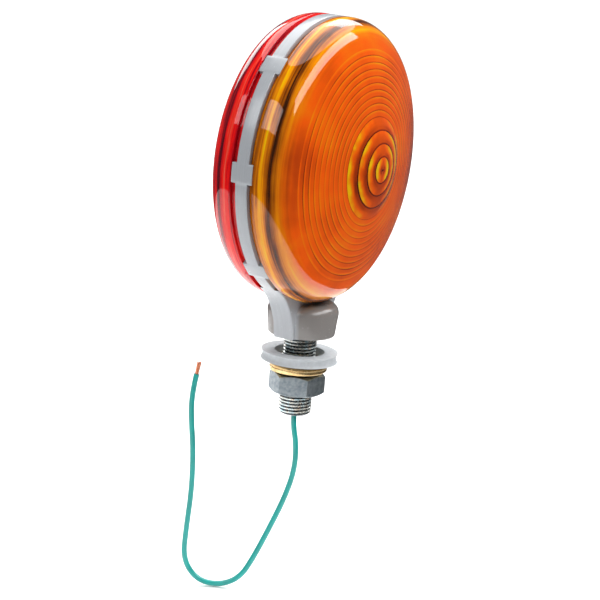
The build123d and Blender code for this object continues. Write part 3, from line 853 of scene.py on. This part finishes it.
class LAMP_OT_housing(bpy.types.Operator):
    """Mould the housing: band, sleeves, tabs, neck, foot and socket seat"""

    bl_idname = "lamp.housing"
    bl_label = "Housing"

    def execute(self, context):
        edge = context.scene.lamp_sizes.housing_edge
        housing = ring_solid(edge)
        for part in (neck_solid(), foot_solid(), seat_solid()):
            combine(housing, part, "UNION")
        for angle in TAB_ANGLES:
            combine(housing, tab_solid(angle, edge), "UNION")
        top, slot_low = SEAT_Z + 1, SEAT_Z - SEAT_ROOT
        wire_x, wire_y = CHANNEL_HALF
        cuts = [
            bar("hole", 96, STUD_R + FILM, -1, STUD_HEAD_Z),
            hexagon_solid("pocket", STUD_HEAD_FLATS + 2 * FILM, STUD_HEAD_Z - 0.5, stud_high.z, 0),
            box_solid("channel", -wire_x, wire_x, -wire_y, wire_y, stud_high.z - 0.5, top),
            box_solid("strap_slot", 0, bracket_high.x, -STRAP_HALF, STRAP_HALF, slot_low, top),
        ]
        for x in (-SCREW_X, SCREW_X):
            place = Matrix.Translation((x * MM, 0, 0))
            cuts.append(bar("screw_hole", 24, SCREW_R, SEAT_Z - SCREW_DEPTH, top, place))
        for cut in cuts:
            combine(housing, cut, "DIFFERENCE")
        finish(housing, "moulded grey ABS", "lamp_body", "housing", 28.0)
        return {"FINISHED"}


class LAMP_OT_seals(bpy.types.Operator):
    """Turn the rubber rings: one under each lens skirt and the plug in the stud"""

    bl_idname = "lamp.seals"
    bl_label = "Seals"

    def execute(self, context):
        half = (seal_high.y - seal_low.y) / 2
        near, far, outer = SEAL_Y - half, SEAL_Y + half, seal_high.x
        for side, node in ((-1, "front_lens_seal"), (1, "rear_lens_seal")):
            pen = Outline(SEAL_FLOOR_R, near)
            pen.line((outer, near), (outer, far), (SEAL_FLOOR_R, far))
            bm = pen.close()
            round_corners(bm, bm.verts[:], 0.25 * MM)
            turn(bm, 160)
            ring = solid(bm, node + "_ring", head_place(side))
            finish(ring, "moulded black nitrile", "lamp_body", node)
        round_r = 0.5
        pen = Outline(LEAD_R, plug_low.z)
        pen.line((STUD_BORE_R - round_r, plug_low.z))
        pen.arc(STUD_BORE_R - round_r, plug_low.z + round_r, 90, 5)
        pen.line((STUD_BORE_R, plug_high.z), (LEAD_R, plug_high.z))
        bm = pen.close()
        turn(bm, 48)
        plug = solid(bm, "stud_plug")
        finish(plug, "moulded black nitrile", "lamp_body", "stud_wire_seal")
        return {"FINISHED"}


# ---- stud and its hardware ------------------------------------------------------------------


def threaded_rod(name, sizes, grow, low, high):
    """Solid screw thread between two heights, its crest at the stud's radius plus grow."""
    pitch = sizes.thread_pitch / MM
    crest = STUD_R + grow
    root = crest - sizes.thread_depth / MM
    pen = Outline(root, 0)
    pen.line((root, 0.1 * pitch), (crest, 0.42 * pitch), (crest, 0.68 * pitch), (root, pitch))
    bm = pen.bm
    turns = math.ceil((high - low) / pitch) + 3
    sweep(bm, 60 * turns, 360.0 * turns, pitch * turns)
    start = math.floor(low / pitch - 2) * pitch
    bmesh.ops.translate(bm, verts=bm.verts[:], vec=(0, 0, start * MM))
    bmesh.ops.remove_doubles(bm, verts=bm.verts[:], dist=1e-6)
    for height, way in ((low, -1), (high, 1)):
        whole = bm.verts[:] + bm.edges[:] + bm.faces[:]
        plane = {"plane_co": (0, 0, height * MM), "plane_no": (0, 0, way)}
        bmesh.ops.bisect_plane(bm, geom=whole, clear_outer=True, dist=1e-7, **plane)
    bmesh.ops.holes_fill(bm, edges=[e for e in bm.edges if len(e.link_faces) == 1], sides=0)
    bmesh.ops.recalc_face_normals(bm, faces=bm.faces[:])
    return solid(bm, name)


class LAMP_OT_stud(bpy.types.Operator):
    """Cut the hollow stud with its real thread"""

    bl_idname = "lamp.stud"
    bl_label = "Threaded stud"

    def execute(self, context):
        low, high, outer = stud_low.z, stud_high.z, STUD_R + 0.2
        stud = threaded_rod("threaded_stud", context.scene.lamp_sizes, 0.0, low - 0.3, 0.6)
        # chamfered at its end
        envelope = ((0, low), (STUD_R - 1.0, low), (outer, low + 1.2), (outer, 0.3), (0, 0.3))
        combine(stud, turned_solid("envelope", 96, *envelope), "INTERSECT")
        combine(stud, bar("shank", 96, STUD_R - 0.01, 0.0, STUD_HEAD_Z + 0.5), "UNION")
        combine(stud, hexagon_solid("head", STUD_HEAD_FLATS, STUD_HEAD_Z, high, 0), "UNION")
        # bored through, countersunk at its end
        mouth = ((0, low - 1), (STUD_BORE_R + 1.5, low - 1), (STUD_BORE_R, low + 0.5))
        bore = turned_solid("bore", 64, *mouth, (STUD_BORE_R, high + 1), (0, high + 1))
        combine(stud, bore, "DIFFERENCE")
        finish(stud, "blue zinc thread", "lamp_body", "mounting_stud", 24.0)
        return {"FINISHED"}


class LAMP_OT_nut(bpy.types.Operator):
    """Form the hexagon nut, chamfered on both faces and tapped"""

    bl_idname = "lamp.nut"
    bl_label = "Nut"

    def execute(self, context):
        low, high = nut_low.z, nut_high.z
        corner_r = NUT_FLATS / math.sqrt(3)
        face_r = NUT_FLATS / 2 - 0.3
        drop = (corner_r - face_r) * math.tan(math.radians(30))
        nut = hexagon_solid("plated_nut", NUT_FLATS, low, high, NUT_CORNER_DEG)
        bm = bmesh.new()
        bm.from_mesh(nut.data)
        uprights = [e for e in bm.edges if abs(e.verts[0].co.z - e.verts[1].co.z) > MM]
        round_edges(bm, uprights, 0.3 * MM, 3)
        bm.to_mesh(nut.data)
        bm.free()
        outer = corner_r + 0.1
        pen = Outline(0, low)
        rims = [pen.line((face_r, low))]
        pen.line((outer, low + drop), (outer, high - drop))
        rims.append(pen.line((face_r, high)))
        pen.line((0, high))
        bm = pen.close()
        round_corners(bm, rims, 0.25 * MM)
        turn(bm, 96)
        combine(nut, solid(bm, "chamfers"), "INTERSECT")
        tap = threaded_rod("tap", context.scene.lamp_sizes, 0.05, low - 1.5, high + 1.5)
        combine(nut, tap, "DIFFERENCE")
        # countersunk to just past the thread
        wide, narrow, deep = STUD_R + 1.45, STUD_R - 0.85, 1.3
        for face, way in ((low, 1), (high, -1)):
            cone = ((0, face - way), (wide, face - way), (narrow, face + deep * way), (0, face + deep * way))
            combine(nut, turned_solid("sink", 64, *cone), "DIFFERENCE")
        finish(nut, "blue zinc plate", "nut", "hex_nut", 30.0)
        return {"FINISHED"}


class LAMP_OT_washer(bpy.types.Operator):
    """Coil the split spring washer"""

    bl_idname = "lamp.washer"
    bl_label = "Lock washer"

    def execute(self, context):
        inner, outer = STUD_R + WASHER_ROOM, washer_high.x
        low, high = washer_low.z, washer_low.z + WASHER_T
        # a groove runs round the middle of its outside
        middle, groove_half, groove_depth = (low + high) / 2, 0.3, 0.35
        pen = Outline(inner, low)
        pen.line((outer, low), (outer, middle - groove_half), (outer - groove_depth, middle))
        pen.line((outer, middle + groove_half), (outer, high), (inner, high))
        bm = pen.close()
        bmesh.ops.contextual_create(bm, geom=bm.edges[:])
        turn(bm, 120, 360.0 - WASHER_GAP_DEG, washer_high.z - high)
        round_edges(bm, sharp_edges(bm, 60), context.scene.lamp_sizes.washer_edge, 4)
        washer = solid(bm, "split_washer")
        finish(washer, "yellow zinc plate", "washer", "lock_washer", 40.0)
        return {"FINISHED"}


class LAMP_OT_pad(bpy.types.Operator):
    """Turn the rubber pad with its waisted rim"""

    bl_idname = "lamp.pad"
    bl_label = "Pad"

    def execute(self, context):
        low, high, outer = pad_low.z, pad_high.z, pad_high.x
        half = (high - low) / 2
        hollow_r = (half**2 + PAD_WAIST**2) / (2 * PAD_WAIST)
        hollow = 2 * math.degrees(math.asin(half / hollow_r))
        pen = Outline(PAD_BORE_R, low)
        corners = [pen.first, pen.line((outer, low))]
        pen.arc(outer - PAD_WAIST + hollow_r, low + half, -hollow, 14)
        corners += [pen.last, pen.line((PAD_BORE_R, high))]
        bm = pen.close()
        round_corners(bm, corners, context.scene.lamp_sizes.pad_edge)
        turn(bm, 144)
        pad = solid(bm, "rubber_pad")
        finish(pad, "moulded grey neoprene", "pad", "mounting_pad")
        return {"FINISHED"}


# ---- lead -----------------------------------------------------------------------------------


def strand_bundle(name, end, heading, strand_r):
    """Nineteen twisted copper strands that fan out a little towards their cut ends."""
    bundle = bmesh.new()
    # the strands start a little way up the insulation
    hidden = 1.0
    long = (STRAND_LENGTH + hidden) * MM
    for count, orbit in ((1, 0.0), (6, 2.05), (12, 4.0)):
        for k in range(count):
            bm = bmesh.new()
            bmesh.ops.create_circle(bm, cap_ends=True, segments=8, radius=strand_r)
            bmesh.ops.translate(bm, vec=(orbit * strand_r, 0, 0), verts=bm.verts[:])
            about = Matrix.Rotation(math.tau * k / count, 3, "Z")
            bmesh.ops.rotate(bm, cent=(0, 0, 0), matrix=about, verts=bm.verts[:])
            # cut to four slightly different lengths
            trim = 1.0 - 0.035 * ((k * 5 + count) % 4)
            turn(bm, 14, 70.0, long * trim / MM)
            mesh = bpy.data.meshes.new("strand")
            bm.to_mesh(mesh)
            bm.free()
            bundle.from_mesh(mesh)
            bpy.data.meshes.remove(mesh)
    for v in bundle.verts:
        fan = 1 + 0.28 * max(0.0, v.co.z / long - 0.3)
        v.co.x *= fan
        v.co.y *= fan
    aim = heading.to_track_quat("Z", "Y").to_matrix().to_4x4()
    return solid(bundle, name, Matrix.Translation(end - heading * hidden * MM) @ aim)


class LAMP_OT_lead(bpy.types.Operator):
    """Hang the lead from the stud, with its stripped end"""

    bl_idname = "lamp.lead"
    bl_label = "Lead"

    def execute(self, context):
        x, y = LEAD_HEADING
        points = [Vector((out * x, out * y, z)) * MM for out, z in LEAD_ROUTE]
        curve = bpy.data.curves.new("green_lead", "CURVE")
        curve.dimensions = "3D"
        curve.resolution_u = 16
        curve.bevel_depth = LEAD_R * MM
        curve.bevel_resolution = 6
        curve.use_fill_caps = True
        spline = curve.splines.new("NURBS")
        spline.points.add(len(points) - 1)
        for place, point in zip(spline.points, points):
            place.co = (*point, 1.0)
        spline.order_u = 3
        spline.use_endpoint_u = True
        lead = bpy.data.objects.new("green_lead", curve)
        context.scene.collection.objects.link(lead)
        finish(lead, "extruded green PVC", "lamp_body", "lead_wire")
        heading = (points[-1] - points[-2]).normalized()
        strands = strand_bundle("copper_strands", points[-1], heading, context.scene.lamp_sizes.strand_r)
        finish(strands, "bare copper", "lamp_body", "wire_strands")
        low, high, round_r = stud_low.z, button_low.z, 0.3
        pen = Outline(0, low)
        pen.line((LEAD_R, low), (LEAD_R, high - round_r))
        pen.arc(LEAD_R - round_r, high - round_r, 90, 4)
        pen.line((0, high))
        bm = pen.close()
        turn(bm, 24)
        inner = solid(bm, "inner_run")
        finish(inner, "extruded green PVC", "lamp_body", "inner_lead")
        squash_down(inner)
        return {"FINISHED"}


# ---- socket and bulb ------------------------------------------------------------------------


def squash_down(piece):
    """Gives a piece its own copy of its mesh."""
    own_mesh(piece)


def coil(name, wire, mean, low, high, turns, segments, steps, place=None):
    """Round wire wound about Z between two heights of its middle."""
    bm = bmesh.new()
    bmesh.ops.create_circle(bm, cap_ends=True, segments=segments, radius=wire * MM)
    stand = Matrix.Translation((mean * MM, 0, low * MM)) @ Matrix.Rotation(math.pi / 2, 4, "X")
    bmesh.ops.transform(bm, matrix=stand, verts=bm.verts[:])
    turn(bm, steps, 360 * turns, high - low)
    return solid(bm, name, place)


class LAMP_OT_socket(bpy.types.Operator):
    """Finish the bulb socket and coil its spring"""

    bl_idname = "lamp.socket"
    bl_label = "Socket"

    def execute(self, context):
        for node, material in (
            ("socket_bracket", "blue zinc plate"),
            ("socket_screws", "blue zinc plate"),
            ("socket_shell", "nickel plate"),
            ("contact_disc", "vulcanised red fibre"),
            ("contact_button", "drawn brass"),
            ("ground_strap", "drawn brass"),
        ):
            dress(node, material)
        wire, mean, turns = 0.35, 5.8, 3.5
        low, high = bracket_high.z, disc_low.z
        spring = coil("coil_spring", wire, mean, low + wire, high - wire, turns, 12, 168)
        finish(spring, "spring steel", "lamp_body", "contact_spring")
        squash_down(spring)
        return {"FINISHED"}


def bulb_globe(neck_r):
    """Thin glass envelope: neck, concave round and globe."""
    radius, neck_z = glass_high.x, PIN_Z + GLASS_NECK_RISE
    centre_z = glass_high.z - radius
    drop = centre_z - neck_z
    round_r = (neck_r**2 + drop**2 - radius**2) / (2 * (radius - neck_r))
    turned = math.degrees(math.acos((neck_r + round_r) / (radius + round_r)))
    pen = Outline(neck_r, glass_low.z)
    pen.line((neck_r, neck_z))
    pen.arc(neck_r + round_r, neck_z, -turned, 12)
    pen.arc(0, centre_z, 90 + turned, 36)
    bm = pen.bm
    sweep(bm, 96)
    bmesh.ops.remove_doubles(bm, verts=bm.verts[:], dist=1e-6)
    bmesh.ops.recalc_face_normals(bm, faces=bm.faces[:])
    centre = Vector((0, 0, centre_z * MM))
    if sum(f.normal.dot(f.calc_center_median() - centre) for f in bm.faces) < 0:
        bmesh.ops.reverse_faces(bm, faces=bm.faces[:])
    glass = solid(bm, "glass_globe")
    wall = glass.modifiers.new("wall", "SOLIDIFY")
    wall.thickness = GLASS_WALL * MM
    wall.offset = -1.0
    return glass


def bulb_base(neck_r):
    """Drawn cup with a rolled crimp below its rim."""
    outer, low, high, wall = base_high.x, base_low.z, base_high.z, base_high.x - neck_r
    bore_r, dent_r, crimp = neck_r + FILM, outer - 0.15, high - 3.0
    pen = Outline(fibre_high.x, low)
    corners = [pen.line((outer, low))]
    pen.line((outer, crimp), (dent_r, crimp + 0.3), (dent_r, crimp + 0.8), (outer, crimp + 1.1))
    corners.append(pen.line((outer, high)))
    pen.line((bore_r, high), (bore_r, low + wall), (fibre_high.x, low + wall))
    bm = pen.close()
    round_corners(bm, corners, 0.15 * MM)
    turn(bm, 96)
    return solid(bm, "brass_base")


def bulb_pins(neck_r):
    """Two bayonet pins with rounded ends."""
    bm = bmesh.new()
    reach = (pin_high.x - neck_r) * MM
    shape = {"cap_ends": True, "segments": 32, "radius1": MM, "radius2": MM, "depth": reach}
    for side in (-1, 1):
        place = Matrix.Translation((side * (neck_r * MM + reach / 2), 0, PIN_Z * MM))
        place = place @ Matrix.Rotation(side * math.pi / 2, 4, "Y")
        pin = bmesh.ops.create_cone(bm, matrix=place, **shape)
        end = side * pin_high.x * MM
        tip = [v for v in pin["verts"] if abs(v.co.x - end) < 1e-6]
        rim = [e for e in bm.edges if e.verts[0] in tip and e.verts[1] in tip]
        round_edges(bm, rim, 0.35 * MM, 3)
    return solid(bm, "bayonet_pins")


def bulb_insulator():
    """Glass cone that carries the tip, its outer corners rounded."""
    outer, skirt_z = fibre_high.x, base_low.z
    pen = Outline(0, fibre_high.z)
    pen.line((outer, fibre_high.z), (outer, skirt_z), (INSULATOR_TIP_R, fibre_low.z), (0, fibre_low.z))
    bm = pen.close()
    corners = [v for v in bm.verts if v.co.x > 2 * MM and v.co.z < skirt_z * MM + 1e-6]
    round_corners(bm, corners, 0.3 * MM)
    turn(bm, 64)
    return solid(bm, "base_insulator")


def bulb_tip():
    """Solder dome."""
    radius, low, high = tip_high.x, tip_low.z, tip_high.z
    dome = (radius**2 + (high - low) ** 2) / (2 * (high - low))
    pen = Outline(0, low)
    pen.arc(0, low + dome, math.degrees(math.asin(radius / dome)), 12)
    pen.line((0, high))
    bm = pen.close()
    turn(bm, 48)
    return solid(bm, "solder_tip")


class LAMP_OT_bulb(bpy.types.Operator):
    """Build the bayonet bulb: glass, base, tip and coiled filament"""

    bl_idname = "lamp.bulb"
    bl_label = "Bulb"

    def execute(self, context):
        neck_r = base_high.x - BASE_WALL
        finish(bulb_globe(neck_r), "blown clear glass", "bulb", "bulb_glass", 60.0)
        finish(bulb_base(neck_r), "drawn brass", "bulb", "bulb_base")
        finish(bulb_pins(neck_r), "drawn brass", "bulb", "bulb_pins")
        finish(bulb_insulator(), "vitrified black glass", "bulb", "bulb_insulator")
        finish(bulb_tip(), "solder", "bulb", "bulb_tip")
        dress("bulb_stem", "blown clear glass")
        dress("bulb_supports", "nickel plate")
        wire, mean, half, turns = 0.09, 0.46, 3.2, 18
        place = Matrix.Translation((0, 0, HEAD_Z * MM)) @ Matrix.Rotation(math.pi / 2, 4, "Y")
        filament = coil("coiled_filament", wire, mean, -half, half, turns, 8, 20 * turns, place)
        finish(filament, "tungsten wire", "bulb", "bulb_filament")
        return {"FINISHED"}


# ---- stage ----------------------------------------------------------------------------------

CAMERA_PLACE = (-758.187, -420.264, 216.081)
CAMERA_ANGLES = (-60.897, 13.205, 5.089)  # azimuth, elevation and roll
CAMERA_LENS = 140.19
SOFTBOX_AIM = (0, 0, 0.06)
TABLE_CENTRE = (-0.05, 0.15)
TABLE_R, FLOOR_R, WALL_H = 0.33, 6.0, 5.0
FLOOR_GAP = 0.2


def facing(azimuth, elevation, roll=0.0):
    """Turn of a camera or light that looks back at the lamp from a direction in degrees."""
    a, e, r = (math.radians(degrees) for degrees in (azimuth, elevation, roll))
    tilt = Matrix.Rotation(math.pi / 2 - e, 4, "X")
    return Matrix.Rotation(a, 4, "Z") @ tilt @ Matrix.Rotation(r, 4, "Z")


def place_on_stage(name, data, place):
    holder = bpy.data.objects.new(name, data)
    holder.matrix_world = place
    bpy.context.scene.collection.objects.link(holder)
    return holder


def softbox(name, azimuth, elevation, distance, width, height, watts):
    """Rectangular light aimed at the head."""
    lamp = bpy.data.lights.new(name, "AREA")
    lamp.shape = "RECTANGLE"
    lamp.size, lamp.size_y = width, height
    lamp.energy = watts
    back = Matrix.Translation((0, 0, distance))
    place_on_stage(name, lamp, Matrix.Translation(SOFTBOX_AIM) @ facing(azimuth, elevation) @ back)


def ring_sheet(name, inner_r, outer_r, rise, floor_z):
    """Sheet from one circle out to another, or up to one."""
    bm = bmesh.new()
    bmesh.ops.create_circle(bm, cap_ends=False, segments=96, radius=inner_r)
    outer = verts_of(bmesh.ops.extrude_edge_only(bm, edges=bm.edges[:])["geom"])
    bmesh.ops.scale(bm, vec=(outer_r / inner_r, outer_r / inner_r, 1), verts=outer)
    bmesh.ops.translate(bm, vec=(0, 0, rise), verts=outer)
    bmesh.ops.translate(bm, vec=(*TABLE_CENTRE, floor_z), verts=bm.verts[:])
    bmesh.ops.recalc_face_normals(bm, faces=bm.faces[:])
    return solid(bm, name)


class LAMP_OT_stage(bpy.types.Operator):
    """Set up the floor, the lights and the camera"""

    bl_idname = "lamp.stage"
    bl_label = "Stage"

    def execute(self, context):
        scene = context.scene
        floor_z = cad_box[0][2] - FLOOR_GAP * MM
        bm = bmesh.new()
        bmesh.ops.create_circle(bm, cap_ends=True, segments=96, radius=TABLE_R)
        bmesh.ops.translate(bm, vec=(*TABLE_CENTRE, floor_z), verts=bm.verts[:])
        table = solid(bm, "studio_table")
        floor = ring_sheet("studio_floor", TABLE_R, FLOOR_R, 0.0, floor_z)
        wall = ring_sheet("studio_wall", FLOOR_R, FLOOR_R, WALL_H, floor_z)
        # the lamp mirrors and is lit by the table and the lights, not the floor beyond
        floor.visible_glossy = False
        floor.visible_diffuse = False
        # the wall is a plain background at low angles, with no part in the lighting
        for ray in ("glossy", "diffuse", "transmission", "shadow"):
            setattr(wall, "visible_" + ray, False)
        # paper lit evenly from behind
        new_finish("backlit paper", Roughness=0.9, Emission_Strength=0.9)
        # matt paper sweep, nearly white
        tree, shader = new_finish("white paper", Roughness=0.9, Specular_IOR_Level=0.1)
        paint(tree, shader, Base_Color=two_tints(tree, srgb("#f5f5f5"), srgb("#f7f7f7"), 4.0))
        for sheet, paper in ((table, "white paper"), (floor, "white paper"), (wall, "backlit paper")):
            sheet.data.materials.append(bpy.data.materials[paper])

        world = bpy.data.worlds.new("studio")
        world.use_nodes = True
        background = world.node_tree.nodes["Background"]
        background.inputs["Color"].default_value = (1.0, 1.0, 1.0, 1.0)
        background.inputs["Strength"].default_value = 0.12
        scene.world = world
        scene.view_settings.view_transform = "Standard"

        softbox("left_softbox", -100, 35, 1.3, 1.5, 0.5, 10.0)
        softbox("front_softbox", 22, 40, 1.3, 1.9, 0.45, 19.0)
        softbox("right_softbox", 104, 38, 1.3, 0.5, 0.5, 4.0)
        softbox("back_softbox", 150, 22, 1.4, 0.8, 0.4, 5.0)
        sky = bpy.data.lights.new("overhead_bank", "SUN")
        sky.energy = 3.4
        sky.angle = math.radians(70)
        lean = Matrix.Rotation(math.radians(110), 4, "Z") @ Matrix.Rotation(math.radians(25), 4, "X")
        place_on_stage("overhead_bank", sky, lean)

        camera = bpy.data.cameras.new("camera")
        camera.lens = CAMERA_LENS
        camera.sensor_width = 36.0
        camera.clip_end = 30.0
        spot = Matrix.Translation(Vector(CAMERA_PLACE) * MM)
        scene.camera = place_on_stage("camera", camera, spot @ facing(*CAMERA_ANGLES))
        return {"FINISHED"}


class LAMP_PT_panel(bpy.types.Panel):
    """Lists the lamp's settings and the operators that build it"""

    bl_label = "Pedestal Lamp"
    bl_idname = "LAMP_PT_panel"
    bl_space_type = "VIEW_3D"
    bl_region_type = "UI"
    bl_category = "Pedestal Lamp"

    def draw(self, context):
        for group in (context.scene.lamp_sizes, context.scene.lamp_colours):
            box = self.layout.box()
            for key in group.__annotations__:
                box.prop(group, key)
        for operator in BUILDERS:
            self.layout.operator(operator.bl_idname)


BUILDERS = (
    LAMP_OT_stage,
    LAMP_OT_lead,
    LAMP_OT_lenses,
    LAMP_OT_housing,
    LAMP_OT_seals,
    LAMP_OT_stud,
    LAMP_OT_nut,
    LAMP_OT_washer,
    LAMP_OT_pad,
    LAMP_OT_socket,
    LAMP_OT_bulb,
)
CLASSES = (LampSizes, LampColours, *BUILDERS, LAMP_PT_panel)


def register():
    for item in CLASSES:
        bpy.utils.register_class(item)
    bpy.types.Scene.lamp_sizes = PointerProperty(type=LampSizes)
    bpy.types.Scene.lamp_colours = PointerProperty(type=LampColours)


def unregister():
    del bpy.types.Scene.lamp_colours
    del bpy.types.Scene.lamp_sizes
    for item in reversed(CLASSES):
        bpy.utils.unregister_class(item)


def main():
    register()
    for operator in BUILDERS:
        group, name = operator.bl_idname.split(".")
        getattr(getattr(bpy.ops, group), name)()


if __name__ == "__main__":
    main()
